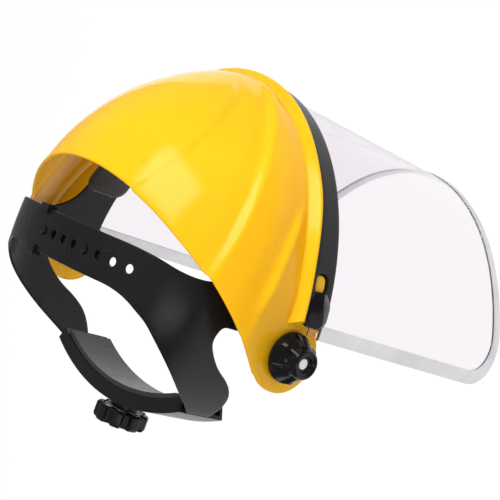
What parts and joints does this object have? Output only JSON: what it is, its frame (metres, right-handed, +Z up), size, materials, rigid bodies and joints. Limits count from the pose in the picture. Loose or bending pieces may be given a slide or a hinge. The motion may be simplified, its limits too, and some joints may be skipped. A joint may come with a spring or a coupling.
{
  "type": "face shield",
  "caption": "Browguard face shield: domed crown with a tilting clear visor in a metal edge binding, on a head harness with side knobs and a rear adjuster dial.",
  "frame": {"origin": "middle of the tilt axis, between the two side bolts, where the head sits in the harness", "axes": "+Z up with the visor down, the wearer faces -Y, +X to the wearer's left"},
  "size_m": [0.2748, 0.2422, 0.2919],
  "materials": {
    "yellow_plastic": "polished injection moulding",
    "clear_sheet": "clear polycarbonate sheet",
    "aluminium_trim": "satin folded strip",
    "black_harness": "semi-gloss flexible moulding",
    "black_gloss": "glossy moulding",
    "grey_lining": "smooth flexible lining",
    "sweat_pad": "perforated padded band",
    "steel": "zinc plated",
    "brass": "machined",
    "white_nylon": "moulded nylon"
  },
  "bodies": {
    "headgear": {"front_band": "black_harness", "sweatband": "sweat_pad", "right_crown_strap": "black_harness", "left_crown_strap": "black_harness", "strap_pegs": "black_harness", "right_rear_arm": "black_harness", "left_rear_arm": "black_harness", "right_pivot_lug": "black_harness", "left_pivot_lug": "black_harness", "right_pivot_bolt": "steel", "left_pivot_bolt": "steel", "right_spacer": "black_harness", "left_spacer": "black_harness", "right_washer": "steel", "left_washer": "steel", "adjuster_cover": "black_harness", "adjuster_base": "black_harness", "nape_pad": "grey_lining", "cover_screws": "steel"},
    "shield": {"crown_shell": "yellow_plastic", "right_crown_ear": "yellow_plastic", "left_crown_ear": "yellow_plastic", "visor_sheet": "clear_sheet", "edge_binding": "aluminium_trim", "retaining_band": "black_harness"},
    "right_knob": {"right_knob_grip": "black_gloss", "right_knob_nut": "brass"},
    "left_knob": {"left_knob_grip": "black_gloss", "left_knob_nut": "brass"},
    "adjuster": {"adjuster_dial": "black_gloss", "drive_pinion": "white_nylon", "dial_screw": "steel", "pawl_disc": "white_nylon"},
    "right_rack_strip": {"right_rack": "black_harness"},
    "left_rack_strip": {"left_rack": "black_harness"}
  },
  "joints": [
    {"name": "shield_tilt", "type": "hinge", "parent": "headgear", "child": "shield", "pos_m": [0, 0, 0], "axis": [-1, 0, 0], "range_deg": [0, 80]},
    {"name": "right_knob_turn", "type": "hinge", "parent": "headgear", "child": "right_knob", "pos_m": [-0.12, 0, 0], "axis": [-1, 0, 0], "range_deg": [0, 360]},
    {"name": "left_knob_turn", "type": "hinge", "parent": "headgear", "child": "left_knob", "pos_m": [0.12, 0, 0], "axis": [1, 0, 0], "range_deg": [0, 360]},
    {"name": "dial_turn", "type": "hinge", "parent": "headgear", "child": "adjuster", "pos_m": [0, 0.08, 0], "axis": [0, 1, 0], "range_deg": [-90, 90]},
    {"name": "right_rack_draw", "type": "hinge", "parent": "headgear", "child": "right_rack_strip", "pos_m": [0, -0.088, 0], "axis": [0, 0, 1], "range_deg": [-3.6, 3.6]},
    {"name": "left_rack_draw", "type": "hinge", "parent": "headgear", "child": "left_rack_strip", "pos_m": [0, -0.088, 0], "axis": [0, 0, 1], "range_deg": [-3.6, 3.6]}
  ],
  "couplings": [
    {"joint": "right_rack_draw", "follows": "dial_turn", "ratio": -0.038585},
    {"joint": "left_rack_draw", "follows": "dial_turn", "ratio": 0.038585}
  ]
}
